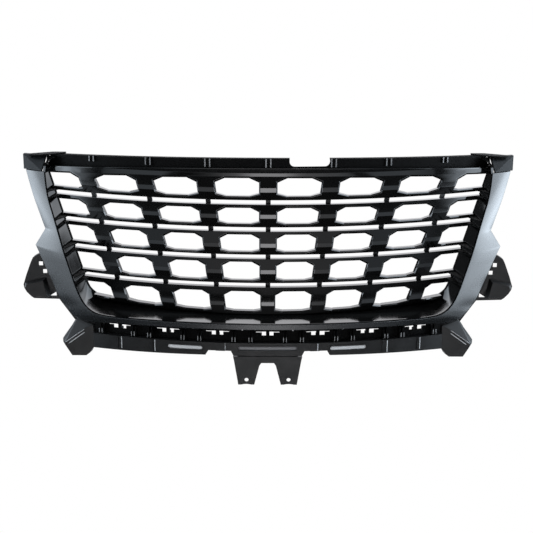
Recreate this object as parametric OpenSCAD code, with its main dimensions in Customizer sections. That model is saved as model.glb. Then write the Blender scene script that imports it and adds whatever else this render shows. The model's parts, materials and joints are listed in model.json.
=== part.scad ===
// Front grille of a pickup: a satin U-shaped moulding, a gloss black liner, five curved
// grille bars on seven ties, an upper flange and the lower carrier with its brackets.
// Origin: midway between the two fixing holes of the centre bracket. X is to the right as
// seen from the front, Y runs to the back and Z is up. Millimetres.

/* [Grille mesh] */
// Plan radius of the bars' front faces
mesh_r = 935; // [925:1:945]
// Distance of the bars' front face behind the centre bracket's plate, on the centre line
mesh_y = 45; // [44:0.5:46]
// Depth of the rails
rail_depth = 12; // [10:0.5:14]
// How far the pillars bulge in front of the rails
bulge = 7; // [5:0.5:9]
// Number of pillars on each side of the centre one
side_pillars = 3; // [3:1:3]
// Distance between pillars at the height of the origin
column_pitch = 91; // [90:0.5:92]
// How much wider that distance gets for each millimetre of height
column_fan = 0.0856; // [0.080:0.0001:0.088]
// Half the mesh's width at the height of the origin
wall_x = 334; // [333:0.5:335]
// How much wider that half gets for each millimetre of height
wall_slope = 0.335; // [0.333:0.001:0.337]

/* [Surround] */
// Plan radius of the lower lip and of the carrier
lip_r = 1100; // [1080:5:1120]
// Distance of the lip's front in front of the centre bracket's plate
lip_front = 15; // [14:0.5:16]
// Height at which the moulding starts to lean back
lean_from = 229; // [225:1:233]
// How fast it leans back above that height
lean = 0.0017; // [0.0015:0.0001:0.0019]
// How far the fins' outer edges are swept back
sweep_back = 18; // [16:1:20]
// Wall thickness of the mouldings
wall = 3; // [2.5:0.1:3.5]

/* [Lower carrier] */
// Distance between the snap units
snap_pitch = 104.5; // [104:0.5:105]
// Lowest edge of the carrier's front strip
strip_low = 54; // [52:0.5:56]
// Highest edge of the carrier's front strip
strip_high = 81; // [80:0.5:82]

/* [Fixings] */
// Radius of the two fixing holes in the centre bracket
bracket_hole_r = 4.2; // [4.0:0.1:4.5]
// Distance between those two holes
bracket_hole_gap = 86.4; // [86:0.2:87]
// Radius of the hole in each locating tab
tab_hole_r = 3.5; // [3.2:0.1:3.8]
// Radius of the screws' shanks
screw_r = 1.8; // [1.6:0.1:2]
// Radius of the screws' heads
screw_head_r = 4.5; // [4:0.1:5]

/* [Hidden] */
$fn = 96;
SIDES = [-1, 1];
PILLARS = [for (k = [-side_pillars : side_pillars]) k];
ROWS = [0 : 4];

SATIN = [0.14, 0.15, 0.16];
GLOSS = [0.05, 0.05, 0.06];
MATTE = [0.16, 0.16, 0.17];
STEEL = [0.55, 0.55, 0.57];

// Each row of the mesh: top and bottom edge, the two rails' heights, the pillars' width,
// and the window corners' cut: its width, its height at the top and at the bottom.
row_top = [429.5, 357, 301.5, 244.5, 184.5];
row_low = [366, 310.5, 253.5, 193.5, 126.5];
top_rail = [19.3, 7, 6.5, 6.5, 9];
low_rail = [8, 7, 6, 5.8, 7];
pillar_w = [37, 37, 36, 35, 31];
cut_w = [20, 17, 16, 16, 15];
cut_top = [8.5, 8, 8, 8, 8];
cut_low = [5.5, 4.5, 4, 3.5, 2.5];
// Where the pillars' foremost facet ends and begins, as shares of the window's height
facet_high = [0.50, 0.63, 0.53, 0.61, 0.52];
facet_low = [0.25, 0.38, 0.30, 0.40, 0.32];
// How soon the windows' upper edges droop towards the ends: depth x * x / window_droop
window_droop = [25000, 80000, 80000, 80000, 80000];
crown_r = 7200; // front-view radius of the top bar's upper edge
flange_crown_r = 11600; // front-view radius of the flange's upper edge
sill_r = 5100; // front-view radius of the mesh's lower edge
flange_top = 448;
clear = 0.3; // assembly gap
pillar_skin = 2.8;
boss_r = 4.2;
screw_depth = 9;
head_h = 2.4;
seat = 0.1; // keeps the heads clear of the curved faces they sit on
tie_w = 10;
tie_t = 8;

function arc_y(r, y, x) = y + r - sqrt(r * r - x * x);
function lip_y(x) = arc_y(lip_r, -lip_front, x);
function face_y(p) = lip_y(p[0]) + lean * pow(max(p[1] - lean_from, 0), 2);
function column_x(k, z) = k * (column_pitch + column_fan * z);
function wall_at(z) = wall_x + wall_slope * z;
function sill_z(x) = row_low[4] + x * x / (2 * sill_r);
function unit(v) = v / norm(v);
function bezier(a, b, c, t) = (1 - t) * (1 - t) * a + 2 * t * (1 - t) * b + t * t * c;
function mirrored(points) = [for (i = [len(points) - 1 : -1 : 0]) [-points[i][0], points[i][1]]];

// A solid of revolution about the plan arc's centre; its profile is drawn as [radius, z].
module plan_sweep(r, y, half_angle = 33) {
    translate([0, y + r, 0])
        rotate([0, 0, -90 - half_angle])
            rotate_extrude(angle = 2 * half_angle, $fn = 240) children();
}

// A front-view outline, drawn as [x, z], made solid between two depths.
module front_prism(y0, y1) {
    translate([0, y1, 0]) rotate([90, 0, 0]) linear_extrude(y1 - y0) children();
}

// Places something on a plan arc: its +Z points to the back, along the radius.
module on_arc(r, y, x, z, depth = 0) {
    translate([0, y + r, z])
        rotate([0, 0, asin(x / r)])
            translate([0, depth - r, 0])
                rotate([-90, 0, 0]) children();
}

// Catmull-Rom curve; a point listed in corners stays a sharp corner.
function spline(p, steps, corners = []) = [
    for (i = [0 : len(p) - 2])
        let (a = p[i], b = p[i + 1],
             before = i == 0 || search(i, corners) != [] ? 2 * a - b : p[i - 1],
             after = i == len(p) - 2 || search(i + 1, corners) != [] ? 2 * b - a : p[i + 2])
            for (s = [0 : steps - 1])
                let (t = s / steps)
                    0.5 * (2 * a + (b - before) * t
                        + (2 * before - 5 * a + 4 * b - after) * t * t
                        + (3 * a - before - 3 * b + after) * t * t * t),
    p[len(p) - 1]];

// A closed band through equal rings of points. Each ring's fan starts at its first point.
module band(rings) {
    n = len(rings[0]);
    m = len(rings);
    sides = [for (i = [0 : m - 2]) for (j = [0 : n - 1])
        let (a = i * n + j, b = i * n + (j + 1) % n, c = a + n, d = b + n)
            each [[a, b, c], [b, d, c]]];
    first = [for (j = [1 : n - 2]) [0, j + 1, j]];
    last = [for (j = [1 : n - 2]) [(m - 1) * n, (m - 1) * n + j, (m - 1) * n + j + 1]];
    polyhedron([for (ring = rings) each ring], concat(sides, first, last), convexity = 8);
}

// ---- The surround's three edges, right half, from the top down to the centre line ----

RING_STEPS = 3;
// Front inner edge, [x, z]
inner_edge = [
    [470.3, 406.5], [464.6, 380], [456.5, 352], [446, 325], [434.5, 292], [427, 268],
    [421, 248], [413.5, 225], [406.5, 203], [399.5, 181], [391.5, 161], [383, 146],
    [371, 133.5], [354, 125.5], [330, 122.5], [300, 122.3], [261, 122.5], [200, 122.6],
    [130, 122.8], [65, 123], [0, 123]];
// Front outer edge, [x, z]; points 4 and 6 are its two sharp corners
outer_edge = [
    [518, 404.5], [506, 377], [492.5, 347], [480, 321], [466.5, 291], [478.5, 273],
    [490.5, 255], [477, 227], [465.5, 201], [454.5, 177], [443.5, 152], [432, 134],
    [418, 120], [399, 108.5], [365, 105.5], [312, 109.5], [261, 111.5], [200, 112],
    [130, 112], [65, 112.2], [0, 112.3]];
outer_corners = [4, 6];
// Share of the sweep-back at each of those points
sweep_share = [
    for (i = [0 : len(outer_edge) - 1]) i < 12 ? 1 : max(0, 1 - (i - 11) / 5)];
// Where the liner meets the mesh: down the side wall, round the corner, along the sill
corner_from = [wall_at(168), 168];
corner_over = [wall_at(140), 140];
corner_to = [336, sill_z(336)];
mesh_edge = concat(
    [for (p = [0 : 9]) [wall_at(inner_edge[p][1]), inner_edge[p][1]]],
    [for (t = [0 : 0.25 : 1]) bezier(corner_from, corner_over, corner_to, t)],
    [for (x = [300, 261, 200, 130, 65, 0]) [x, sill_z(x)]]);

function both_sides(half) = concat(
    half, [for (i = [len(half) - 2 : -1 : 0]) [-half[i][0], half[i][1], half[i][2]]]);
ring_in = both_sides([for (p = spline(inner_edge, RING_STEPS)) [p[0], face_y(p), p[1]]]);
ring_sweep = spline([for (s = sweep_share) [s, 0]], RING_STEPS);
ring_out_flat = spline(outer_edge, RING_STEPS, outer_corners);
ring_out = both_sides([for (i = [0 : len(ring_out_flat) - 1])
    let (p = ring_out_flat[i]) [p[0], face_y(p) + sweep_back * ring_sweep[i][0], p[1]]]);
mesh_edge_curve = spline(mesh_edge, RING_STEPS);
ring_mesh = both_sides([for (p = mesh_edge_curve)
    [p[0], arc_y(mesh_r, mesh_y + rail_depth + 2, p[0]), p[1]]]);

fin_return = 13; // depth of the fins' outer return
sill_hollow = 0.375; // how far the sill's middle lies below its edges' mean, over its rise

// Unit vector from the ring's outer edge to its inner edge, seen from the front
function inward(i) = let (d = ring_in[i] - ring_out[i]) unit([d[0], 0, d[2]]);
// How fast the frame's plate falls back towards its outer edge
function plate_slope(i) = let (d = ring_out[i] - ring_in[i]) d[1] / norm([d[0], d[2]]);
// Unit vector out of the mesh's edge, seen from the front
function outward(i) =
    let (a = ring_mesh[max(i - 1, 0)], b = ring_mesh[min(i + 1, len(ring_mesh) - 1)])
        unit([a[2] - b[2], 0, b[0] - a[0]]);

module surround_frame() color(SATIN) {
    // The first point is the section's inner corner, from which its end cap can fan out.
    rings = [for (i = [0 : len(ring_in) - 1])
        let (a = ring_in[i], b = ring_out[i], n = inward(i) * wall)
            [b + n + [0, wall, 0], a + [0, wall, 0], a, b, b + [0, fin_return, 0],
             b + n + [0, fin_return, 0]]];
    band(rings);
    // bosses for the side brackets' screws
    for (s = SIDES) for (p = bracket_bosses)
        difference() {
            translate([s * p[0], p[1], p[2]]) rotate([-90, 0, 0])
                cylinder(r = 5, h = bracket_y - p[1]);
            translate([s * p[0], bracket_y - 14, p[2]]) rotate([-90, 0, 0])
                cylinder(r = screw_r, h = 20);
        }
}

module inner_liner() color(GLOSS) {
    n = len(ring_in);
    rings = [for (i = [0 : n - 1])
        let (a = ring_in[i] + [0, wall + clear, 0], c = ring_mesh[i], out = outward(i),
             middle = (a + c) / 2 + out * sill_hollow * abs((c[2] - a[2]) * out[2]),
             back = [0, plate_slope(i) * wall, 0])
            [middle, a, a + out * wall + back, middle + out * wall, c + out * wall, c]];
    union() {
        // short upper ends, between the caps and the top bar
        band(concat([liner_end(1), liner_neck(1)], rings, [liner_neck(-1), liner_end(-1)]));
        // webs that run forward from each rail's end along the side walls
        for (s = SIDES) for (z = web_heights) wall_web(s, z);
        // blocks under the sill that take the carrier's screws
        for (k = carrier_screw_k) carrier_boss(k);
    }
}

// The liner's upper sections on one side, as [x, y] in the same order as its other sections:
// beside the top bar it stands straight, and above that its front edge curls inboard
neck_section = [
    [470, 169.5], [469.9, 153.2], [472.9, 154.5], [473, 169.5], [473.2, 185.8], [470.2, 185.8]];
end_section = [
    [458.3, 175.7], [447, 163], [449.1, 160.9], [460.4, 173.6], [471.7, 186.4], [469.6, 188.5]];
function liner_neck(s) = [for (p = neck_section) [s * p[0], p[1], 416]];
function liner_end(s) = [for (p = end_section) [s * p[0], p[1], 435]];

web_heights = [for (r = ROWS) each [r == 0 ? 410 : row_top[r] - 1.6, row_low[r] + 1.6]];
web_run = 14; // how far a web reaches inboard from the wall
web_t = 2.4;

web_gap = 3.3; // distance between the webs and the bars' front
// The side wall's front edge at a height
wall_heights = [for (i = [13 : -1 : 0]) [inner_edge[i][1], inner_edge[i][0]]];
function front_x(z) = lookup(z, wall_heights);

// A three-cornered web: set in the wall, wide at the mesh and nothing at the front edge
module wall_web(s, z) {
    x = wall_at(z);
    front = [front_x(z) + 1.2, face_y([front_x(z), z]) + wall + 3];
    if (z > 140)
        hull() {
            for (p = [[x + 3.5, arc_y(mesh_r, mesh_y, x) - web_gap],
                      [x - web_run, arc_y(mesh_r, mesh_y, x - web_run) - web_gap],
                      front])
                translate([s * p[0], p[1], z - web_t / 2]) cylinder(r = 0.5, h = web_t, $fn = 12);
        }
}

carrier_screw_k = [-2.5, -1.5, -0.5, 0.5, 1.5, 2.5];
carrier_back = 23; // depth of the carrier wall's back face behind the lip
boss_low = 98;
// Height of the liner's sill, in the middle of its thickness, over the carrier's screws
function under_sill(x) =
    let (back = arc_y(mesh_r, mesh_y + rail_depth + 2, x) - lip_y(x) - wall,
         share = 2 * (carrier_back + 5 - wall) / back)
        122.7 + share * (0.5 - sill_hollow) * (sill_z(x) - 122.7) - wall / 2;

module carrier_boss(k) {
    top = under_sill(k * snap_pitch);
    on_arc(lip_r, -lip_front, k * snap_pitch, 0, carrier_back + clear)
        difference() {
            translate([-7, -top, 0]) cube([14, top - boss_low, 10]);
            translate([0, -106, -1]) cylinder(r = screw_r, h = 12);
        }
}

// ---- Top of the surround ----

// Corners of the cap's sloping front face
cap_face = [[476.5, 147, 408], [522.5, 189, 406.2], [527.5, 209, 434], [473.5, 183, 434.5]];
cap_depth = 12;
cap_round = 0.8;

module top_cap(s) color(MATTE)
    difference() {
        hull() for (p = cap_face) for (d = [0, cap_depth])
            translate([s * p[0], p[1] + d, p[2]]) sphere(r = cap_round, $fn = 16);
        at_tab(s) tab_room();
    }

tab_in = 430;
tab_len = 81;
tab_front = 172;
tab_depth = 34;
tab_z = 436.4;
tab_t = 3;
tab_drop = 4.6; // slope of the tab's top, in degrees

module at_tab(s)
    translate([s * (tab_in + tab_len / 2), 0, tab_z]) rotate([0, s * tab_drop, 0]) children();

// What its neighbours leave free below and round a tab
module tab_room()
    translate([-tab_len / 2 - clear, tab_front - clear, -clear])
        cube([tab_len + 2 * clear, 60, 20]);

module locating_tab(s) color(MATTE)
    at_tab(s)
        difference() {
            translate([-tab_len / 2, tab_front, 0]) cube([tab_len, tab_depth, tab_t]);
            translate([s * 20, tab_front + 20, -1]) cylinder(r = tab_hole_r, h = tab_t + 2);
            // its inner rear and outer front corners are cut away
            translate([-s * tab_len / 2, tab_front + tab_depth + 4, 0]) rotate([0, 0, s * 30])
                cube([150, 40, 14], center = true);
            translate([s * tab_len / 2, tab_front, 0]) rotate([0, 0, s * 30])
                cube([120, 28, 14], center = true);
        }

// [x, z] outline under a crowned upper edge
module crown_outline(top, r, half, low) {
    steps = 16;
    polygon(concat(
        [[half, low], [-half, low]],
        [for (i = [-steps : steps]) let (x = half * i / steps) [x, top - x * x / (2 * r)]]));
}

flange_half = 469;
// What each end of the flange leaves free beside the liner
flange_end = [[469.5, 416], [463.5, 435], [463.5, 460], [480, 460], [480, 416]];
notch_left = 42.5;
notch_right = 123.5;
notch_low = 431.8;
notch_round = 10;

module upper_flange() color(MATTE)
    difference() {
        intersection() {
            union() {
                plan_sweep(mesh_r, mesh_y) flange_wall();
                difference() {
                    plan_sweep(mesh_r, mesh_y) flange_lip();
                    front_prism(-100, 400) crown_outline(flange_top - wall, flange_crown_r, 500, 300);
                }
                for (k = PILLARS) for (d = [-4.8, 4.8])
                    on_arc(mesh_r, mesh_y, rib_x(k) + d, 0, rail_depth + clear - 3.5)
                        translate([-1.2, -460, 0]) cube([2.4, 460 - 430.5, 4]);
            }
            front_prism(-100, 400) crown_outline(flange_top, flange_crown_r, flange_half, 300);
        }
        front_prism(-100, 400) notch_outline();
        for (s = SIDES) {
            front_prism(-100, 400) scale([s, 1]) polygon(flange_end);
            at_tab(s) tab_room();
        }
        for (k = flange_screw_k)
            on_arc(mesh_r, mesh_y, flange_screw_x(k), 420, 0) cylinder(r = screw_r, h = 60);
    }

// Pairs of ribs stand over the pillars; the fifth pair clears the notch
function rib_x(k) = k * 123.5 + (k == 1 ? 9 : 0);
flange_screw_k = [-3 : 2];
function flange_screw_x(k) = (k + 0.5) * 123.5;

// An upright wall behind the top bar, and a lip that runs backwards along its top
flange_r = mesh_r - rail_depth - clear;
module flange_wall() translate([flange_r - wall, 409]) square([wall, 60]);
module flange_lip() translate([flange_r - 14, 400]) square([14, 60]);

module notch_outline() {
    hull() {
        translate([notch_left + notch_round, notch_low + notch_round]) circle(notch_round, $fn = 32);
        translate([notch_right - notch_round, notch_low + notch_round]) circle(notch_round, $fn = 32);
        translate([notch_left, notch_low + notch_round]) square([notch_right - notch_left, 20]);
    }
}

// ---- Mesh ----

// Section of one row as [radius, z]: flat back, thin edges and a three-faced bulge
module bar_profile(r) {
    top = row_top[r];
    low = row_low[r] - (r == 4 ? 1 : 0);
    w0 = row_low[r] + low_rail[r];
    w1 = row_top[r] - top_rail[r];
    h = w1 - w0;
    polygon([
        [mesh_r - rail_depth, low],
        [mesh_r, low],
        [mesh_r + bulge, w0 + facet_low[r] * h],
        [mesh_r + bulge - 0.6, w0 + facet_high[r] * h],
        [mesh_r, r == 0 ? top - 9 : top],
        [mesh_r - (r == 0 ? 4 : 0), top],
        [mesh_r - rail_depth, top]]);
}

// The hollow behind the bulge
module pocket_profile(r) {
    w0 = row_low[r] + low_rail[r];
    h = row_top[r] - top_rail[r] - w0;
    polygon([
        [mesh_r - rail_depth - 1, w0],
        [mesh_r - pillar_skin, w0],
        [mesh_r + bulge - pillar_skin, w0 + facet_low[r] * h],
        [mesh_r + bulge - pillar_skin, w0 + facet_high[r] * h],
        [mesh_r - pillar_skin, w0 + h],
        [mesh_r - rail_depth - 1, w0 + h]]);
}

// Lower edge of a window: the bottom row follows the sill
function window_low(r, x) = r == 4 ? sill_z(x) + low_rail[4] : row_low[r] + low_rail[r];
// Upper edge of a window beside pillar k, on the side that faces away from the middle or to it
function window_high(r, k, side) =
    let (z = row_top[r] - top_rail[r], x = column_x(k, z) + side * pillar_w[r] / 2)
        z - x * x / window_droop[r];

// Eight-cornered window between pillars k and k + 1
module window_outline(r, k) {
    half = pillar_w[r] / 2;
    zl = window_low(r, column_x(k, row_low[r]) + half);
    zr = window_low(r, column_x(k + 1, row_low[r]) - half);
    hl = window_high(r, k, 1);
    hr = window_high(r, k + 1, -1);
    polygon([
        [column_x(k, zl) + half + cut_w[r], zl],
        [column_x(k + 1, zr) - half - cut_w[r], zr],
        [column_x(k + 1, zr) - half, zr + cut_low[r]],
        [column_x(k + 1, hr) - half, hr - cut_top[r]],
        [column_x(k + 1, hr) - half - cut_w[r], hr],
        [column_x(k, hl) + half + cut_w[r], hl],
        [column_x(k, hl) + half, hl - cut_top[r]],
        [column_x(k, zl) + half, zl + cut_low[r]]]);
}

// Half window between the last pillar and the side wall
module end_window_outline(r) {
    half = pillar_w[r] / 2;
    k = side_pillars;
    z1 = window_high(r, k, 1);
    zl = window_low(r, column_x(k, row_low[r]) + half);
    polygon([
        [column_x(k, zl) + half + cut_w[r] / 2, zl],
        [600, window_low(r, wall_at(zl))],
        [600, z1],
        [column_x(k, z1) + half + cut_w[r], z1],
        [column_x(k, z1) + half, z1 - cut_top[r]],
        [column_x(k, zl) + half, zl + cut_low[r] / 2]]);
}

// The mesh's outline inside the liner
mesh_half = [
    [466.4, 440], [469.2, 416],
    for (z = [405, 300, 200]) [wall_at(z) - 2 * clear, z],
    for (t = [0 : 0.2 : 1]) bezier(corner_from, corner_over, corner_to, t) + [-2 * clear, clear],
    for (x = [300, 250, 200, 150, 100, 50]) [x, sill_z(x) + clear]];

module mesh_outline() {
    polygon(concat(mesh_half, [[0, sill_z(0) + clear]], mirrored(mesh_half)));
}

module pillar_inside(r, k) {
    z0 = row_low[r] + low_rail[r];
    z1 = row_top[r] - top_rail[r];
    half = pillar_w[r] / 2 - pillar_skin;
    polygon([
        [column_x(k, z0) - half, z0 + 2],
        [column_x(k, z0) + half, z0 + 2],
        [column_x(k, z1) + half, z1 - 2],
        [column_x(k, z1) - half, z1 - 2]]);
}

function row_middle(r) = (row_low[r] + low_rail[r] + row_top[r] - top_rail[r]) / 2;
boss_floor = 2; // depth at which a pillar's screw boss starts behind the rails' front

module grille_bar(r) color(GLOSS) {
    zm = row_middle(r);
    difference() {
        intersection() {
            plan_sweep(mesh_r, mesh_y) bar_profile(r);
            front_prism(-100, 400) mesh_outline();
            if (r == 0)
                front_prism(-100, 400) crown_outline(row_top[0], crown_r, 500, 300);
        }
        for (k = [-side_pillars : side_pillars - 1])
            front_prism(-100, 400) window_outline(r, k);
        for (s = SIDES)
            front_prism(-100, 400) scale([s, 1]) end_window_outline(r);
        for (k = PILLARS)
            difference() {
                intersection() {
                    plan_sweep(mesh_r, mesh_y) pocket_profile(r);
                    front_prism(-100, 400) pillar_inside(r, k);
                }
                on_arc(mesh_r, mesh_y, column_x(k, zm), zm, -10) cylinder(r = boss_r, h = 40);
            }
        for (k = PILLARS)
            on_arc(mesh_r, mesh_y, column_x(k, zm), zm, boss_floor) cylinder(r = screw_r, h = 20);
        if (r == 0)
            for (k = flange_screw_k)
                on_arc(mesh_r, mesh_y, flange_screw_x(k), 420, boss_floor) cylinder(r = screw_r, h = 20);
    }
}

tie_low = 148;
tie_high = 402;

module tie_rib(k) color(MATTE)
    difference() {
        intersection() {
            plan_sweep(mesh_r, mesh_y)
                translate([mesh_r - rail_depth - clear - tie_t, tie_low])
                    square([tie_t, tie_high - tie_low]);
            front_prism(-100, 400) polygon([
                [column_x(k, tie_low) - tie_w / 2, tie_low],
                [column_x(k, tie_low) + tie_w / 2, tie_low],
                [column_x(k, tie_high) + tie_w / 2, tie_high],
                [column_x(k, tie_high) - tie_w / 2, tie_high]]);
        }
        for (r = ROWS)
            on_arc(mesh_r, mesh_y, column_x(k, row_middle(r)), row_middle(r), 0)
                cylinder(r = screw_r, h = 60);
    }

// ---- Screws: +Z of each points to its head ----

module screw(shank) {
    translate([0, 0, -shank]) cylinder(r = screw_r, h = shank);
    difference() {
        cylinder(r = screw_head_r, h = head_h);
        for (a = [0, 90])
            rotate([0, 0, a]) translate([-2.6, -0.6, 1]) cube([5.2, 1.2, head_h]);
    }
}

module rib_screws() color(STEEL)
    for (k = PILLARS) for (r = ROWS)
        on_arc(mesh_r, mesh_y, column_x(k, row_middle(r)), row_middle(r),
               rail_depth + clear + tie_t + seat) screw(screw_depth + tie_t);

module flange_screws() color(STEEL)
    for (k = flange_screw_k)
        on_arc(mesh_r, mesh_y, flange_screw_x(k), 420, rail_depth + clear + wall + seat)
            screw(screw_depth + wall);

module carrier_screws() color(STEEL)
    for (k = carrier_screw_k)
        on_arc(lip_r, -lip_front, k * snap_pitch, 106, carrier_back + clear + 10) screw(12.5);

module bracket_screws() color(STEEL)
    for (s = SIDES) {
        for (p = bracket_bosses)
            translate([s * p[0], bracket_y + wall, p[2]]) rotate([-90, 0, 0]) screw(13);
        translate([s * bracket_screw_x, plate_back, bracket_screw_z]) rotate([-90, 0, 0]) screw(6.2);
    }

// ---- Lower carrier ----

shelf_depth = 20; // the carrier's upright wall stands this far behind the lip's front
strip_front = 8.2; // and its front strip this far
snap_low = 93.5;
snap_high = 102.5;
// Half width of the square gaps in each snap unit, left to right
snap_half = [14, 12.5, 12, 12, 14, 14, 14];
slit_half = 24; // half width of the slit along their upper edges
slit_h = 2;
tongue = 3.6;
snap_rib = 35;
// Front-view outline of the strip's lower edge on one side: end, and the notch by the bracket
strip_ends = 365.4;
notch_out = 121;
notch_in = 75;
notch_up = 64;
pad_x = [97, 247, 322];
pad_w = 19;
// Long recesses: middle, width and height above the origin
slots = [[-169, 72, 68.5], [0, 120, 70], [164.5, 75, 68.5]];
slot_h = 8.5;

module carrier_profile() {
    back = lip_r - carrier_back;
    translate([back, strip_high - wall]) square([wall, 115.5 - strip_high + wall]);
    translate([back, strip_high - wall]) square([carrier_back - strip_front, wall]);
    translate([lip_r - strip_front - wall, strip_low - 6]) square([wall, strip_high - strip_low + 6]);
}

// A round-ended outline with a border
module recess(p, border) {
    r = slot_h / 2 + border;
    half = p[1] / 2 - slot_h / 2;
    translate([p[0], p[2]]) {
        square([2 * half, 2 * r], center = true);
        for (s = SIDES) translate([s * half, 0]) circle(r, $fn = 48);
    }
}

// A gap on one side of snap unit k's middle, between two distances from it and two heights
module snap_gap(k, d, near, far, low, high)
    on_arc(lip_r, -lip_front, k * snap_pitch + d * (far + near) / 2, 0, 0)
        translate([-(far - near) / 2, -high, 12]) cube([far - near, high - low, 30]);

module carrier_outline() {
    half = [
        [330, 120], [340, 104], [strip_ends, 103], [strip_ends, strip_low - 5],
        [notch_out + 6, strip_low],
        [notch_out, notch_up], [notch_in, notch_up], [notch_in - 5, strip_low]];
    polygon(concat(half, mirrored(half)));
}

module lower_carrier() color(MATTE)
    difference() {
        union() {
            intersection() {
                plan_sweep(lip_r, -lip_front) carrier_profile();
                front_prism(-100, 200) carrier_outline();
            }
            // upright ribs that join the shelf to the wall, two for each snap unit
            for (k = PILLARS) for (d = [-1, 1]) for (e = [-1, 1])
                on_arc(lip_r, -lip_front, k * snap_pitch + d * snap_rib + e * 3, 0, strip_front + 2)
                    translate([-0.8, -104, 0]) cube([1.6, 104 - strip_high + 1, 11]);
            // raised pads on the strip
            for (s = SIDES) for (x = pad_x)
                on_arc(lip_r, -lip_front, s * x, 0, strip_front - 1.5)
                    translate([-pad_w / 2, -strip_high, 0])
                        cube([pad_w, strip_high - (x < 120 ? notch_up : strip_low), 2]);
            // rims round the long recesses
            for (p = slots)
                intersection() {
                    front_prism(-60, 60) recess(p, 3);
                    plan_sweep(lip_r, -lip_front)
                        translate([lip_r - strip_front - 1, strip_low]) square([2.2, 30]);
                }
        }
        for (k = PILLARS) for (d = SIDES)
            let (half = snap_half[k + side_pillars]) {
                snap_gap(k, d, tongue, half, snap_low, snap_high);
                snap_gap(k, d, half - 2, slit_half, snap_high - 0.4 - slit_h, snap_high - 0.4);
            }
        for (p = slots)
            intersection() {
                front_prism(-60, 60) recess(p, 0);
                plan_sweep(lip_r, -lip_front)
                    translate([lip_r - strip_front - 1, strip_low]) square([10, 30]);
            }
        for (k = carrier_screw_k)
            on_arc(lip_r, -lip_front, k * snap_pitch, 106, 0) cylinder(r = screw_r, h = 40);
        // the centre bracket's screws
        for (s = SIDES)
            translate([s * bracket_screw_x, -4.8, bracket_screw_z]) rotate([-90, 0, 0])
                cylinder(r = screw_r, h = 12);
    }

// One clip behind each tongue: a leaf with a hooked end
module snap_clips() color(MATTE)
    for (k = PILLARS)
        on_arc(lip_r, -lip_front, k * snap_pitch, 0, carrier_back + clear) {
            translate([-tongue, -108, 0]) cube([2 * tongue, 20, 1.6]);
            translate([-tongue, -92, 1.6]) cube([2 * tongue, 4, 6]);
            translate([-tongue, -96, 6]) cube([2 * tongue, 8, 1.6]);
        }

// ---- Brackets ----

leg_out = 60.3;
leg_in = 27.3;
leg_low = -10.4;
arch_half = 12.7;
arch_top = 36.8;
shoulder = 70.5;
shoulder_z = 52;
plate_back = wall / 2;
bracket_screw_x = 30;
bracket_screw_z = 73;

module bracket_outline() {
    half = [
        [shoulder, shoulder_z], [leg_out, leg_low], [leg_in, leg_low],
        [arch_half + 4, 31.5], [arch_half, arch_top]];
    top = [[-62, shoulder_z], [-62, 77.6], [62, 77.6], [62, shoulder_z]];
    polygon(concat(top, half, mirrored(half)));
}

module centre_bracket() color(MATTE)
    difference() {
        union() {
            front_prism(-plate_back, plate_back) bracket_outline();
            // folded lip across the shoulders
            front_prism(-plate_back - 3.5, -plate_back)
                polygon([
                    [-shoulder, shoulder_z], [shoulder, shoulder_z],
                    [shoulder - 1, 46.5], [1 - shoulder, 46.5]]);
            // stiffening flanges down the legs' outer edges
            for (s = SIDES)
                front_prism(plate_back, plate_back + 8) polygon([
                    [s * shoulder, shoulder_z], [s * leg_out, leg_low],
                    [s * (leg_out - 2), leg_low], [s * (shoulder - 2), shoulder_z]]);
        }
        for (s = SIDES) {
            translate([s * bracket_hole_gap / 2, -20, 0]) rotate([-90, 0, 0])
                cylinder(r = bracket_hole_r, h = 40);
            translate([s * bracket_screw_x, -20, bracket_screw_z]) rotate([-90, 0, 0])
                cylinder(r = screw_r, h = 40);
            // each leg's end is slightly arched
            translate([s * (leg_out + leg_in) / 2, -20, leg_low - 38]) rotate([-90, 0, 0])
                cylinder(r = 39.4, h = 40);
        }
    }

block_front = [
    [366, 96], [388, 85], [427, 57], [427, 50], [413.5, 27], [384, 27], [376, 33], [366, 49]];
block_back = [
    [366, 105], [403, 104], [435, 60], [435, 52], [414, 25.6], [383, 25.6], [374, 32], [366, 48]];
block_y = [66, 71, 104];
block_middle = [399, 64];

module block_outline(points, s) polygon([for (p = points) [s * p[0], p[1]]]);

module corner_block(s) color(MATTE)
    difference() {
        hull() {
            front_prism(block_y[0], block_y[0] + 1) block_outline(block_front, s);
            front_prism(block_y[1] + 12, block_y[2]) block_outline(block_back, s);
        }
        hull() {
            front_prism(block_y[1], block_y[1] + 1)
                about(block_middle, s, 0.88) block_outline(block_front, s);
            front_prism(block_y[2], block_y[2] + 1)
                about(block_middle, s, 0.9) block_outline(block_back, s);
        }
    }

bracket_y = 134;
// Bosses on the fins: x, the depth at which they start inside the fin's skin, z
bracket_bosses = [[440, 91.5, 190], [428, 90, 156]];
side_plate = [
    [489, 231], [502, 223], [507, 213], [518.5, 184], [525.5, 163], [524, 155],
    [519, 146], [510, 136.5], [504, 132.5], [450, 131], [414, 78], [400, 84],
    [424, 140], [424, 206], [462, 231]];
side_cup = [
    [507, 160.5], [521, 169.5], [522, 159.5], [516, 149.5], [507, 140.5], [501, 136.5],
    [467, 136.5], [475, 179.5]];
// The arm's foot, which meets the corner block
side_foot = [[400, 84], [414, 78], [418, 84], [404, 91]];
plate_middle = [470, 165];
cup_middle = [500, 157];
side_holes = [[485.5, 210], [477.5, 193]];
side_hole = 9;
side_triangle = [[455, 138], [470, 138], [456, 147]];

// Shrinks a front-view outline about a point
module about(middle, s, share)
    translate([s * middle[0] * (1 - share), middle[1] * (1 - share)]) scale(share) children();

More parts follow.
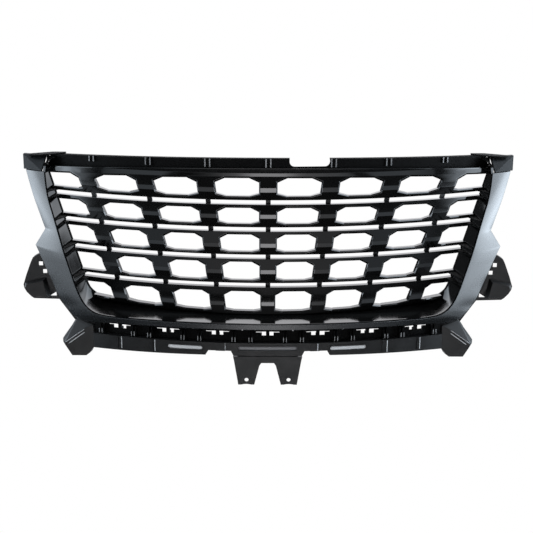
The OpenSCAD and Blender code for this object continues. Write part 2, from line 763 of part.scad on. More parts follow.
module side_bracket(s) color(MATTE)
    difference() {
        union() {
            front_prism(bracket_y, bracket_y + wall)
                polygon([for (p = side_plate) [s * p[0], p[1]]]);
            front_prism(block_y[2] + clear, bracket_y)
                polygon([for (p = side_foot) [s * p[0], p[1]]]);
            // the outer lower part is a raised cup
            hull() {
                front_prism(bracket_y - 14, bracket_y - 13)
                    about(cup_middle, s, 0.8) polygon([for (p = side_cup) [s * p[0], p[1]]]);
                front_prism(bracket_y - 1, bracket_y)
                    polygon([for (p = side_cup) [s * p[0], p[1]]]);
            }
            // stiffening rim round the outer edge
            front_prism(bracket_y + wall, bracket_y + 20) difference() {
                polygon([for (p = side_plate) [s * p[0], p[1]]]);
                about(plate_middle, s, 0.96) polygon([for (p = side_plate) [s * p[0], p[1]]]);
                translate([s < 0 ? -450 : 0, 0]) square([450, 300]);
            }
        }
        hull() {
            front_prism(bracket_y - 11, bracket_y - 10)
                about(cup_middle, s, 0.72) polygon([for (p = side_cup) [s * p[0], p[1]]]);
            front_prism(bracket_y + wall - 0.5, bracket_y + wall + 1)
                about(cup_middle, s, 0.86) polygon([for (p = side_cup) [s * p[0], p[1]]]);
        }
        for (p = side_holes)
            front_prism(0, 200) translate([s * p[0], p[1]]) square(side_hole, center = true);
        front_prism(bracket_y - 1, 200) polygon([for (p = side_triangle) [s * p[0], p[1]]]);
        for (p = bracket_bosses)
            translate([s * p[0], bracket_y - 1, p[2]]) rotate([-90, 0, 0])
                cylinder(r = screw_r, h = 10);
    }

surround_frame();
inner_liner();
top_cap(-1);  // left_top_cap
top_cap(1);  // right_top_cap
upper_flange();
locating_tab(-1);  // left_locating_tab
locating_tab(1);  // right_locating_tab
for (r = ROWS) grille_bar(r);
for (k = PILLARS)
    tie_rib(k);
lower_carrier();
centre_bracket();
corner_block(-1);  // left_corner_block
corner_block(1);  // right_corner_block
side_bracket(-1);  // left_side_bracket
side_bracket(1);  // right_side_bracket
snap_clips();
flange_screws();
rib_screws();
carrier_screws();
bracket_screws();
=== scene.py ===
"""Looks of the front grille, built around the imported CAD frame. Metres, in the CAD's own frame."""

import json
import math

import bmesh
import bpy
from mathutils import Matrix, Vector

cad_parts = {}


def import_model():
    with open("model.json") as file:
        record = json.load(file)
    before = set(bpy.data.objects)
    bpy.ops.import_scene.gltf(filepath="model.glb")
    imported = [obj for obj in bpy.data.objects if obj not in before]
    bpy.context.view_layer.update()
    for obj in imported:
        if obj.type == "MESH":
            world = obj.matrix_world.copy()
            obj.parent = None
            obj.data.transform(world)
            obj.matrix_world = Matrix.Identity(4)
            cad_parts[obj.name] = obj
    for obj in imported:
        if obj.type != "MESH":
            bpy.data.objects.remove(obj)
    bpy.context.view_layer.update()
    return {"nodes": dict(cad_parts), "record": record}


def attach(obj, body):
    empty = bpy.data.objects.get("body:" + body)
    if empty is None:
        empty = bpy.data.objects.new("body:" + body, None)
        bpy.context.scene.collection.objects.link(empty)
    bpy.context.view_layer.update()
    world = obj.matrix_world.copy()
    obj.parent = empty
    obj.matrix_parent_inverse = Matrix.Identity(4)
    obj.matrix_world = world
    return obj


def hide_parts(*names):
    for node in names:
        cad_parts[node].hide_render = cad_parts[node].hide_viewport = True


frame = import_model()

MM = 0.001

# ---- Driving dimensions, as in the part's source, in millimetres ----

MESH_R = 935.0
MESH_Y = 45.0
RAIL_DEPTH = 12.0
BULGE = 7.0
PILLARS = range(-3, 4)
COLUMN_PITCH = 91.0
COLUMN_FAN = 0.0856
WALL_X = 334.0
WALL_SLOPE = 0.335
LIP_R = 1100.0
LIP_FRONT = 15.0
LEAN_FROM = 229.0
LEAN = 0.0017
SWEEP_BACK = 18.0
WALL = 3.0
CLEAR = 0.3

ROW_TOP = [429.5, 357, 301.5, 244.5, 184.5]
ROW_LOW = [366, 310.5, 253.5, 193.5, 126.5]
TOP_RAIL = [19.3, 7, 6.5, 6.5, 9]
LOW_RAIL = [8, 7, 6, 5.8, 7]
PILLAR_W = [37, 37, 36, 35, 31]
CUT_W = [20, 17, 16, 16, 15]
CUT_TOP = [8.5, 8, 8, 8, 8]
CUT_LOW = [5.5, 4.5, 4, 3.5, 2.5]
FACET_HIGH = [0.50, 0.63, 0.53, 0.61, 0.52]
FACET_LOW = [0.25, 0.38, 0.30, 0.40, 0.32]
WINDOW_DROOP = [25000, 80000, 80000, 80000, 80000]
SILL_R = 5100.0
CROWN_R = 7200.0
ROWS = range(5)
TOP_ROW = 0
BOTTOM_ROW = 4

# The surround's edges, right half, from the top down to the centre line, as [x, z]
INNER_EDGE = [
    (470.3, 406.5), (464.6, 380), (456.5, 352), (446, 325), (434.5, 292), (427, 268),
    (421, 248), (413.5, 225), (406.5, 203), (399.5, 181), (391.5, 161), (383, 146),
    (371, 133.5), (354, 125.5), (330, 122.5), (300, 122.3), (261, 122.5), (200, 122.6),
    (130, 122.8), (65, 123), (0, 123)]
OUTER_EDGE = [
    (518, 404.5), (506, 377), (492.5, 347), (480, 321), (466.5, 291), (478.5, 273),
    (490.5, 255), (477, 227), (465.5, 201), (454.5, 177), (443.5, 152), (432, 134),
    (418, 120), (399, 108.5), (365, 105.5), (312, 109.5), (261, 111.5), (200, 112),
    (130, 112), (65, 112.2), (0, 112.3)]
OUTER_CORNERS = (4, 6)
SWEEP_SHARE = [1.0 if i < 12 else max(0.0, 1 - (i - 11) / 5) for i in range(len(OUTER_EDGE))]
RING_STEPS = 7
FIN_RETURN = 13.0


def arc_y(r, y, x):
    """Depth of a plan arc of radius r, whose nearest point is at y, at a sideways place x."""
    return y + r - math.sqrt(r * r - x * x)


def mesh_y(x, depth):
    """Depth of the grille mesh's curved surface, depth behind the bars' front."""
    r = MESH_R - depth
    return MESH_Y + MESH_R - math.sqrt(r * r - x * x)


def lip_y(x):
    return arc_y(LIP_R, -LIP_FRONT, x)


def face_y(x, z):
    """Depth of the surround's front face."""
    return lip_y(x) + LEAN * max(z - LEAN_FROM, 0) ** 2


def column_x(k, z):
    return k * (COLUMN_PITCH + COLUMN_FAN * z)


def wall_at(z):
    return WALL_X + WALL_SLOPE * z


def sill_z(x):
    return ROW_LOW[4] + x * x / (2 * SILL_R)


def mix(a, b, t):
    return a + (b - a) * t


def bezier(a, b, c, t):
    return [mix(mix(p, q, t), mix(q, s, t), t) for p, q, s in zip(a, b, c)]


def spline(points, steps, corners=()):
    """Catmull-Rom curve through points; those listed in corners stay sharp."""
    out = []
    for i in range(len(points) - 1):
        a, b = Vector(points[i]), Vector(points[i + 1])
        before = 2 * a - b if i == 0 or i in corners else Vector(points[i - 1])
        last = i == len(points) - 2 or i + 1 in corners
        after = 2 * b - a if last else Vector(points[i + 2])
        for k in range(steps):
            t = k / steps
            out.append(0.5 * (2 * a + (b - before) * t + (2 * before - 5 * a + 4 * b - after) * t ** 2
                              + (3 * a - before - 3 * b + after) * t ** 3))
    return out + [Vector(points[-1])]


def both_sides(half):
    return half + [Vector((-p.x, p.y, p.z)) for p in reversed(half[:-1])]


CORNER_FROM = (wall_at(168), 168)
CORNER_OVER = (wall_at(140), 140)
CORNER_TO = (336, sill_z(336))
MESH_EDGE = (
    [(wall_at(z), z) for _, z in INNER_EDGE[:10]]
    + [bezier(CORNER_FROM, CORNER_OVER, CORNER_TO, i / 4) for i in range(5)]
    + [(x, sill_z(x)) for x in (300, 261, 200, 130, 65, 0)])

ring_in = both_sides([Vector((x, face_y(x, z), z)) for x, z in spline(INNER_EDGE, RING_STEPS)])
ring_share = spline([(s, 0) for s in SWEEP_SHARE], RING_STEPS)
ring_out = both_sides([
    Vector((x, face_y(x, z) + SWEEP_BACK * share.x, z))
    for (x, z), share in zip(spline(OUTER_EDGE, RING_STEPS, OUTER_CORNERS), ring_share)])
ring_mesh = both_sides([
    Vector((x, arc_y(MESH_R, MESH_Y + RAIL_DEPTH + 2, x), z)) for x, z in spline(MESH_EDGE, RING_STEPS)])


# ---- Materials ----


def new_material(name):
    mat = bpy.data.materials.new(name)
    mat.use_nodes = True
    nodes = mat.node_tree.nodes
    return mat, nodes, mat.node_tree.links, nodes["Principled BSDF"]


def noise(nodes, links, coords, scale, detail=3.0, rough=0.55):
    node = nodes.new("ShaderNodeTexNoise")
    node.inputs["Scale"].default_value = scale
    node.inputs["Detail"].default_value = detail
    node.inputs["Roughness"].default_value = rough
    links.new(coords, node.inputs["Vector"])
    return node.outputs["Fac"]


def ramp(nodes, links, source, low, high, start=0.3, end=0.7):
    """Maps a 0 to 1 value between two colours or greys."""
    node = nodes.new("ShaderNodeValToRGB")
    for element, place, value in zip(node.color_ramp.elements, (start, end), (low, high)):
        element.position = place
        element.color = (*value, 1) if isinstance(value, tuple) else (value, value, value, 1)
    links.new(source, node.inputs["Fac"])
    return node.outputs["Color"]


def bump(nodes, links, height, strength, distance, under=None):
    node = nodes.new("ShaderNodeBump")
    node.inputs["Strength"].default_value = strength
    node.inputs["Distance"].default_value = distance
    links.new(height, node.inputs["Height"])
    if under:
        links.new(under, node.inputs["Normal"])
    return node.outputs["Normal"]


def plastic(name, dark, light, rough, grain_scale, grain, metallic=0.0, ripple=0.0):
    """A moulded surface: cloudy colour, uneven gloss, fine grain and a faint long ripple."""
    mat, nodes, links, shader = new_material(name)
    coords = nodes.new("ShaderNodeTexCoord").outputs["Object"]
    cloud = noise(nodes, links, coords, 14.0, 4.0)
    links.new(ramp(nodes, links, cloud, dark, light), shader.inputs["Base Color"])
    smudge = noise(nodes, links, coords, 38.0, 6.0, 0.65)
    links.new(ramp(nodes, links, smudge, rough[0], rough[1]), shader.inputs["Roughness"])
    grains = noise(nodes, links, coords, grain_scale, 2.0)
    normal = bump(nodes, links, grains, grain, 0.0002)
    if ripple:
        waves = noise(nodes, links, coords, 22.0, 1.0)
        normal = bump(nodes, links, waves, ripple, 0.0006, normal)
    links.new(normal, shader.inputs["Normal"])
    shader.inputs["Metallic"].default_value = metallic
    return mat


SATIN = plastic(
    "satin_black", (0.006, 0.007, 0.008), (0.008, 0.009, 0.010),
    (0.25, 0.29), 900.0, 0.05, ripple=0.01)
GLOSS = plastic(
    "gloss_black", (0.002, 0.002, 0.002), (0.003, 0.003, 0.003),
    (0.07, 0.12), 500.0, 0.02, ripple=0.03)
MATTE = plastic(
    "matte_black", (0.003, 0.003, 0.003), (0.006, 0.006, 0.006),
    (0.34, 0.48), 1400.0, 0.20)
# Painted shade: a near-black, dull material for faces that stand in shade, darker than the plastic they
# belong to
SHADE_BLACK = plastic(
    "painted_shade_black", (0.001, 0.001, 0.001), (0.002, 0.002, 0.002),
    (0.55, 0.70), 1400.0, 0.20)
# Painted highlights: light greys for the reflections on the carrier's slot floors, the middle one dimmer
BRIGHT_SLOT_HIGHLIGHT = plastic("slot_highlight_bright", (0.36, 0.37, 0.38), (0.44, 0.45, 0.46), (0.35, 0.5), 1400.0, 0.20)
DIM_SLOT_HIGHLIGHT = plastic(
    "slot_highlight_dim", (0.075, 0.076, 0.078), (0.10, 0.10, 0.105),
    (0.30, 0.45), 1400.0, 0.20)
CAP_GREY = plastic(
    "cap_grey", (0.009, 0.010, 0.011), (0.013, 0.014, 0.015),
    (0.38, 0.5), 1400.0, 0.25)
# Painted highlight: a light grey for edges and rib fronts that catch the light
EDGE_HIGHLIGHT_GREY = plastic(
    "edge_highlight_grey", (0.11, 0.113, 0.116), (0.17, 0.173, 0.177),
    (0.3, 0.45), 1400.0, 0.15)
# Painted highlight: a light grey for ridges and ribs that catch the light
RIDGE_HIGHLIGHT_GREY = plastic("ridge_highlight_grey", (0.30, 0.31, 0.32), (0.40, 0.41, 0.42), (0.3, 0.4), 1400.0, 0.15)
STEEL = plastic(
    "screw_steel", (0.42, 0.42, 0.43), (0.55, 0.55, 0.56),
    (0.28, 0.45), 700.0, 0.15, metallic=1.0)

for dull, level in ((MATTE, 0.30), (CAP_GREY, 0.05), (SHADE_BLACK, 0.06)):
    dull.node_tree.nodes["Principled BSDF"].inputs["Specular IOR Level"].default_value = level

SLOT_MATERIAL = {"satin_black": SATIN, "gloss_black": GLOSS, "matte_black": MATTE, "screw_steel": STEEL}
NODE_SLOT = {s["node"]: s["material_slot"] for s in frame["record"]["subparts"]}


# ---- Mesh helpers ----

SHARP = math.radians(32)
CREASE = math.radians(9)


def piece(name, bm, material, nodes, edge=0.0, segments=2, sharp_from=SHARP):
    """Turns a bmesh in millimetres into a finished piece that stands for CAD nodes."""
    bmesh.ops.remove_doubles(bm, verts=bm.verts, dist=0.01)
    bmesh.ops.recalc_face_normals(bm, faces=bm.faces)
    if edge:
        sharp = [e for e in bm.edges if len(e.link_faces) == 2 and e.calc_face_angle(0) > sharp_from]
        bmesh.ops.bevel(bm, geom=sharp, offset=edge, segments=segments, profile=0.6,
                        affect="EDGES", clamp_overlap=True, harden_normals=False)
    bmesh.ops.scale(bm, vec=(MM, MM, MM), verts=bm.verts)
    for f in bm.faces:
        f.smooth = True
    for e in bm.edges:
        e.smooth = len(e.link_faces) != 2 or e.calc_face_angle(0) < SHARP
    mesh = bpy.data.meshes.new(name)
    bm.to_mesh(mesh)
    bm.free()
    obj = bpy.data.objects.new(name, mesh)
    bpy.context.scene.collection.objects.link(obj)
    mesh.materials.append(material)
    weighted = obj.modifiers.new("even shading", "WEIGHTED_NORMAL")
    weighted.keep_sharp = True
    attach(obj, "root")
    if nodes:
        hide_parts(*nodes)
    return obj


def rounded_copy(node, name, edge=0.5, material=None):
    """A CAD node's shape with its coplanar faces joined and its edges rounded."""
    bm = bmesh.new()
    bm.from_mesh(frame["nodes"][node].data)
    bmesh.ops.scale(bm, vec=(1 / MM,) * 3, verts=bm.verts)
    bmesh.ops.remove_doubles(bm, verts=bm.verts, dist=0.01)
    bmesh.ops.dissolve_limit(bm, angle_limit=math.radians(1.0), verts=bm.verts, edges=bm.edges)
    slot = NODE_SLOT[node]
    return piece(name, bm, material or SLOT_MATERIAL[slot], [node], edge)


for node, obj in frame["nodes"].items():
    obj.data.materials.clear()
    obj.data.materials.append(SLOT_MATERIAL[NODE_SLOT[node]])


def sweep(bm, rings):
    """A closed band through equal rings of points, with both ends capped."""
    loops = [[bm.verts.new(p) for p in ring] for ring in rings]
    for a, b in zip(loops, loops[1:]):
        for i in range(len(a)):
            j = (i + 1) % len(a)
            bm.faces.new((a[i], a[j], b[j], b[i]))
    bm.faces.new(loops[0])
    bm.faces.new(list(reversed(loops[-1])))


def prism(bm, low, high):
    """A solid between two matching outlines."""
    sweep(bm, [[Vector(p) for p in low], [Vector(p) for p in high]])


def tube(bm, centre, radius, start, end, sides=32):
    """A round bar along Y."""
    turn = [2 * math.pi * i / sides for i in range(sides)]
    ring = [(centre[0] + radius * math.cos(a), centre[1] + radius * math.sin(a)) for a in turn]
    prism(bm, [(x, start, z) for x, z in ring], [(x, end, z) for x, z in ring])


# ---- Grille bars ----

BEVEL_WIDTH = 2.2
BEVEL_DEPTH = 2.8
UPPER_GROWTH = 1.65  # the windows' upper bevels are that much wider than the lower ones
PILLAR_SKIN = 2.8
RAIL_STEPS = 10
WALL_LIMIT = 469.2
FACET_LEAN = 0.6  # how far a pillar's foremost facet leans back
CREST_DEPTH = 0.7  # the top bar's depth just above its windows
BROW_DROP = 9  # height of the slope along the top bar's upper edge
BROW_DEPTH = 4.0  # and its depth
BROW_ROOM = 1.5  # least height between that slope's foot and the edge
SHOULDER_DROP = 1.2  # the same for the other rows
BOTTOM_END_X = 371.0  # where the lowest bar ends, in the round corner
BOTTOM_END_RISE = 0.4
PILLAR_STEPS = (-1.0, None, -0.35, 0.35, None, 1.0)
LOW, SILL, FOOT, FACET_A, FACET_B, NECK, HEAD, SHOULDER, TOP = range(9)


def bar_depth(r, z):
    """How far behind the mesh's arc the front of row r lies at a height."""
    w0 = ROW_LOW[r] + LOW_RAIL[r]
    h = ROW_TOP[r] - TOP_RAIL[r] - w0
    brow = ROW_TOP[r] - (BROW_DROP if r == TOP_ROW else 0)
    knots = [(ROW_LOW[r] - (1 if r == BOTTOM_ROW else 0), 0.0), (w0 + FACET_LOW[r] * h, -BULGE),
             (w0 + FACET_HIGH[r] * h, FACET_LEAN - BULGE)]
    if r == TOP_ROW:
        knots.append((ROW_TOP[r] - TOP_RAIL[r] + UPPER_GROWTH * BEVEL_WIDTH, CREST_DEPTH))
        knots.append((brow, 0.0))
        knots.append((ROW_TOP[r], BROW_DEPTH))
    else:
        knots.append((brow, 0.0))
    for (z0, d0), (z1, d1) in zip(knots, knots[1:]):
        if z <= z1:
            return mix(d0, d1, max(z - z0, 0) / (z1 - z0))
    return knots[-1][1]


def bar_low(r, x):
    """Lower edge of a row: the bottom one follows the sill and its round corners."""
    if r != BOTTOM_ROW:
        return ROW_LOW[r]
    x = abs(x)
    if x <= CORNER_TO[0]:
        return sill_z(x) + CLEAR
    t = 1.0
    while t > 0 and bezier(CORNER_FROM, CORNER_OVER, CORNER_TO, t)[0] < x:
        t -= 0.01
    return bezier(CORNER_FROM, CORNER_OVER, CORNER_TO, t)[1] + CLEAR


def bar_top(r, x):
    return ROW_TOP[r] - (x * x / (2 * CROWN_R) if r == TOP_ROW else 0)


def window_low(r, x):
    return (sill_z(x) if r == BOTTOM_ROW else ROW_LOW[r]) + LOW_RAIL[r]


def window_top(r, x):
    return ROW_TOP[r] - TOP_RAIL[r] - x * x / WINDOW_DROOP[r]


def pillar_side(r, k, side, grow):
    """[x, z] beside a pillar at the levels SILL, FOOT, NECK and HEAD, with the window grown."""
    half = PILLAR_W[r] / 2
    outer = k * side == PILLARS[-1]
    low_w, low_h = (CUT_W[r] / 2, CUT_LOW[r] / 2) if outer else (CUT_W[r], CUT_LOW[r])
    zl = window_low(r, column_x(k, ROW_LOW[r]) + side * half)
    zh = window_top(r, column_x(k, ROW_TOP[r] - TOP_RAIL[r]) + side * half)
    out = []
    for z, w, h, up, more in ((zl, low_w, low_h, 1, 1), (zh, CUT_W[r], CUT_TOP[r], -1, UPPER_GROWTH)):
        slant = math.hypot(w, h)
        wide = grow * more
        flat = (column_x(k, z) + side * (half + w - wide * (slant - w) / h), z - up * wide)
        upright = z + up * (h + (h * grow - slant * wide) / w)
        out.append((flat, (column_x(k, z) + side * (half - grow), upright)))
    return {SILL: out[0][0], FOOT: out[0][1], NECK: out[1][1], HEAD: out[1][0]}


def pillar_place(r, k, u, level, grow):
    """[x, z] on pillar k at u from -1, its left side, to 1, its right side."""
    sides = [pillar_side(r, k, side, grow) for side in (-1, 1)]
    w0 = ROW_LOW[r] + LOW_RAIL[r]
    h = ROW_TOP[r] - TOP_RAIL[r] - w0
    if level in (FACET_A, FACET_B):
        z = w0 + (FACET_LOW if level == FACET_A else FACET_HIGH)[r] * h
        ends = [mix(Vector(s[FOOT]), Vector(s[NECK]), (z - s[FOOT][1]) / (s[NECK][1] - s[FOOT][1]))
                for s in sides]
    elif level in (LOW, SHOULDER, TOP):
        near = SILL if level == LOW else HEAD
        ends = [Vector((s[near][0], edge_height(r, s[near][0], level))) for s in sides]
    else:
        ends = [Vector(s[level]) for s in sides]
    return mix(ends[0], ends[1], (u + 1) / 2)


def edge_height(r, x, level):
    if level == LOW:
        return bar_low(r, x)
    top = bar_top(r, x)
    if level == TOP:
        return top
    return min(ROW_TOP[r] - BROW_DROP, top - BROW_ROOM) if r == TOP_ROW else top - SHOULDER_DROP


def rail_place(r, start, end, t, level, grow):
    """[x, z] on a rail, t of the way from one window corner to the next."""
    low = level in (LOW, SILL)
    x = mix(start[0], end[0], t)
    if level == SILL:
        return Vector((x, mix(start[1], end[1], t) if r != BOTTOM_ROW else window_low(r, x) - grow))
    if level == HEAD:
        return Vector((x, mix(start[1], end[1], t)))
    return Vector((x, edge_height(r, x, level)))


def bar_stations(r):
    """Functions of (level, grow) from the left wall to the right one, with what each belongs to."""
    half = PILLAR_W[r] / 2
    inner = 1 - PILLAR_SKIN / half
    middle = (len(PILLAR_STEPS) - 1) / 2
    us = [u if u is not None else math.copysign(inner, i - middle) for i, u in enumerate(PILLAR_STEPS)]
    stations = []

    def wall_end(side, level, grow):
        if level in (LOW, SILL) and r == BOTTOM_ROW:
            rise = BOTTOM_END_RISE if level == SILL else 0
            return (side * BOTTOM_END_X, bar_low(r, BOTTOM_END_X) + rise)
        z = {LOW: ROW_LOW[r], SILL: ROW_LOW[r] + LOW_RAIL[r] - grow}.get(level)
        if z is None:
            x = min(wall_at(ROW_TOP[r]) - 2 * CLEAR, WALL_LIMIT)
            z = window_top(r, x) + UPPER_GROWTH * grow if level == HEAD else edge_height(r, x, level)
        return (side * min(wall_at(z) - 2 * CLEAR, WALL_LIMIT), z)

    def rail(a, b, t):
        def place(level, grow):
            near = SILL if level in (LOW, SILL) else HEAD
            return rail_place(r, a(near, grow), b(near, grow), t, level, grow)
        return place

    def side_of(k, u):
        return lambda level, grow: pillar_place(r, k, u, level, grow)

    ends = [lambda level, grow: wall_end(-1, level, grow)]
    for k in PILLARS:
        ends += [side_of(k, -1), side_of(k, 1)]
    ends.append(lambda level, grow: wall_end(1, level, grow))
    for gap in range(len(PILLARS) + 1):
        a, b = ends[2 * gap], ends[2 * gap + 1]
        first = 0 if gap == 0 else 1
        last = RAIL_STEPS + 1 if gap == len(PILLARS) else RAIL_STEPS
        for i in range(first, last):
            t = i / RAIL_STEPS
            if i == 0 or i == RAIL_STEPS:
                stations.append(("rail", a if i == 0 else b))
            else:
                stations.append(("rail", rail(a, b, t)))
        if gap < len(PILLARS):
            k = PILLARS[gap]
            stations += [("pillar", side_of(k, u)) for u in us]
    return stations


def bar_mesh(r):
    bm = bmesh.new()
    stations = bar_stations(r)
    levels = [LOW, SILL, FOOT, FACET_A, FACET_B, NECK, HEAD, SHOULDER, TOP]
    verts = {}

    def vert(sheet, s, level):
        key = (sheet, s, level)
        if key not in verts:
            grow = BEVEL_WIDTH if sheet == "front" else 0.0
            x, z = stations[s][1](level, grow)
            depth = bar_depth(r, z)
            if sheet == "lip":
                depth += BEVEL_DEPTH
            elif sheet == "back":
                depth = RAIL_DEPTH
            elif sheet == "floor":
                depth += PILLAR_SKIN
            verts[key] = bm.verts.new((x, mesh_y(x, depth), z))
        return verts[key]

    def quad(*keys):
        corners = [vert(*key) for key in keys]
        if len(set(corners)) == 4:
            bm.faces.new(corners)

    def in_pocket(s, level):
        kinds = [stations[i][0] for i in (s - 1, s, s + 1, s + 2) if 0 <= i < len(stations)]
        return kinds == ["pillar"] * 4 and level in (FOOT, FACET_A, FACET_B)

    for s in range(len(stations) - 1):
        solid = stations[s][0] == stations[s + 1][0] == "pillar"
        for level in levels[:-1]:
            if not solid and SILL <= level < HEAD:
                continue
            cell = ((s, level), (s + 1, level), (s + 1, level + 1), (s, level + 1))
            quad(*[("front", *c) for c in cell])
            sheet = "floor" if in_pocket(s, level) else "back"
            quad(*[(sheet, *c) for c in cell])
            if sheet == "floor":
                for (a, b), (c, d) in zip(cell, cell[1:] + cell[:1]):
                    if a != c:
                        inside = in_pocket(s, level - 1 if b == level else level + 1)
                    else:
                        inside = in_pocket(s - 1 if a == s else s + 1, level)
                    if not inside:
                        quad(("floor", a, b), ("floor", c, d), ("back", c, d), ("back", a, b))
        quad(("front", s, LOW), ("front", s + 1, LOW), ("back", s + 1, LOW), ("back", s, LOW))
        quad(("front", s, TOP), ("front", s + 1, TOP), ("back", s + 1, TOP), ("back", s, TOP))
        if not solid:
            for level in (SILL, HEAD):
                for a, b in (("front", "lip"), ("lip", "back")):
                    quad((a, s, level), (a, s + 1, level), (b, s + 1, level), (b, s, level))
    for s, (kind, _) in enumerate(stations):
        before = stations[s - 1][0] if s else kind
        after = stations[s + 1][0] if s < len(stations) - 1 else kind
        if kind == "pillar" and "rail" in (before, after):
            for level in range(SILL, HEAD):
                for a, b in (("front", "lip"), ("lip", "back")):
                    quad((a, s, level), (a, s, level + 1), (b, s, level + 1), (b, s, level))
    for s in (0, len(stations) - 1):
        for a, b, inner in ((LOW, SILL, SILL), (HEAD, SHOULDER, HEAD), (SHOULDER, TOP, None)):
            quad(("front", s, a), ("front", s, b), ("back", s, b), ("back", s, a))
            if inner is not None:
                bm.faces.new([vert(sheet, s, inner) for sheet in ("front", "lip", "back")])
    return bm


for row in ROWS:
    name = f"grille_bar_{row + 1}"
    piece(f"{name}_body", bar_mesh(row), GLOSS, [name], edge=0.5, sharp_from=CREASE)


# ---- Surround ----


FACE_STEPS = 8
FACE_CROWN = 0.35
# Bosses for the side brackets' screws: x, the depth at which they start, z
BRACKET_BOSSES = ((440, 91.5, 190), (428, 90, 156))
BOSS_R = 5.0
BRACKET_Y = 134.0


def frame_mesh():
    """Front moulding: a crowned face, a return round the fins and a thin wall."""
    bm = bmesh.new()
    rings = []
    for a, b in zip(ring_in, ring_out):
        n = Vector((a.x - b.x, 0, a.z - b.z)).normalized() * WALL
        face = []
        for i in range(FACE_STEPS + 1):
            t = i / FACE_STEPS
            p = a.lerp(b, t)
            p.y += (b.y - a.y) * (t * t - t) * FACE_CROWN
            face.append(p)
        back = Vector((0, WALL, 0))
        rings.append(face + [b + Vector((0, FIN_RETURN, 0)), b + n + Vector((0, FIN_RETURN, 0)),
                             b + n + back, a + back])
    sweep(bm, rings)
    for side in (-1, 1):
        for x, start, z in BRACKET_BOSSES:
            tube(bm, (side * x, z), BOSS_R, start, BRACKET_Y)
    return bm


piece("surround_moulding", frame_mesh(), SATIN, ["surround_frame"], edge=0.9, segments=3)

LINER_STEPS = 10
FRONT_LIP = 2.2
BACK_LIP = 2.0
WEB_T = 2.4
LIP_SLOPE = 1.4  # the front lip's inner face runs back by that share of its width
WEB_RUN = 14.0
WEB_GAP = 3.3
WEB_INSET = 1.6  # how far inside a row's edges its webs stand
WEB_ROOT = 3.5  # how far a web runs into the side wall at its back end
WEB_TIP = 1.2  # the same at its front end
WEB_TIP_BACK = 3  # how far behind the wall's front edge a web's tip stands
TOP_WEB_Z = 410.0  # the uppermost web stands lower than the top bar's edge
LOWEST_WEB_Z = 140.0
# The liner's upper sections, as [x, y]: its front and back edge inside, then outside
NECK_Z = 416.0
NECK = ((469.9, 153.2), (470.2, 185.8), (473.2, 185.8), (472.9, 154.5))
END_Z = 435.0
END = ((447, 163), (469.6, 188.5), (471.7, 186.4), (449.1, 160.9))
CURL_STEPS = 6
FALLING = 14  # the inner edge's points before it turns along the sill


def front_x(z):
    """Sideways place of the side wall's front edge at a height."""
    for (x0, z0), (x1, z1) in zip(INNER_EDGE[:FALLING], INNER_EDGE[1:FALLING]):
        if z1 <= z <= z0:
            return mix(x0, x1, (z0 - z) / (z0 - z1))
    return INNER_EDGE[0][0]


def liner_ring(inside, outside, out, lips):
    """A section of the liner with a small lip in front and one behind the mesh's edge."""
    depth = Vector((0, 1, 0))
    a, c = inside[0], inside[-1]
    edge = a - out * FRONT_LIP * lips
    front = [edge, edge + depth * FRONT_LIP, a + depth * FRONT_LIP * LIP_SLOPE]
    seat = c - depth * BACK_LIP
    back = [seat, seat - out * BACK_LIP * lips, c - out * BACK_LIP * lips]
    return front + inside[1:-1] + back + outside[::-1]


def curl_ring(side, t):
    """A section of the liner's upper end, whose front edge curls inboard as t goes to 1."""
    points = [Vector((side * mix(p[0], q[0], t * t), mix(p[1], q[1], t), mix(NECK_Z, END_Z, t)))
              for p, q in zip(NECK, END)]
    steps = [k / LINER_STEPS for k in range(LINER_STEPS + 1)]
    inside = [points[0].lerp(points[1], k) for k in steps]
    outside = [points[3].lerp(points[2], k) for k in steps]
    return liner_ring(inside, outside, Vector((side, 0, 0)), mix(1.0, 0.1, t))


def liner_mesh():
    bm = bmesh.new()
    last = len(ring_in) - 1
    rings = [curl_ring(1, 1 - i / CURL_STEPS) for i in range(CURL_STEPS + 1)]
    for i, (front, mesh) in enumerate(zip(ring_in, ring_mesh)):
        p, q = ring_mesh[max(i - 1, 0)], ring_mesh[min(i + 1, last)]
        out = Vector((p.z - q.z, 0, q.x - p.x)).normalized()
        a = front + Vector((0, WALL + CLEAR, 0))
        rise = abs((mesh.z - a.z) * out.z)
        inside = []
        for k in range(LINER_STEPS + 1):
            t = k / LINER_STEPS
            inside.append(a.lerp(mesh, t) + out * rise * (t - t ** 3))
        slope = ring_out[i] - ring_in[i]
        outside = [p + out * WALL for p in inside]
        outside[0] += Vector((0, slope.y / math.hypot(slope.x, slope.z) * WALL, 0))
        rings.append(liner_ring(inside, outside, out, 1.0))
    rings += [curl_ring(-1, i / CURL_STEPS) for i in range(CURL_STEPS + 1)]
    sweep(bm, rings)
    return bm


def web_mesh():
    """The three-cornered webs that run forward from the rails' ends."""
    bm = bmesh.new()
    for side in (-1, 1):
        for r in ROWS:
            upper = TOP_WEB_Z if r == TOP_ROW else ROW_TOP[r] - WEB_INSET
            for z in (upper, ROW_LOW[r] + WEB_INSET):
                if z > LOWEST_WEB_Z:
                    x = wall_at(z)
                    front = front_x(z)
                    outline = [(x + WEB_ROOT, arc_y(MESH_R, MESH_Y, x) - WEB_GAP),
                               (x - WEB_RUN, arc_y(MESH_R, MESH_Y, x - WEB_RUN) - WEB_GAP),
                               (front + WEB_TIP, face_y(front, z) + WALL + WEB_TIP_BACK)]
                    prism(bm, [(side * px, py, z - WEB_T / 2) for px, py in outline],
                          [(side * px, py, z + WEB_T / 2) for px, py in outline])
    return bm


piece("liner_body", liner_mesh(), GLOSS, ["inner_liner"], edge=0.5, segments=2)
# Painted shade: the webs take the dark shade material, darker than the gloss liner they belong to
piece("liner_webs", web_mesh(), SHADE_BLACK, [], edge=0.4)

# ---- Small parts: the CAD shapes with joined faces and rounded edges ----

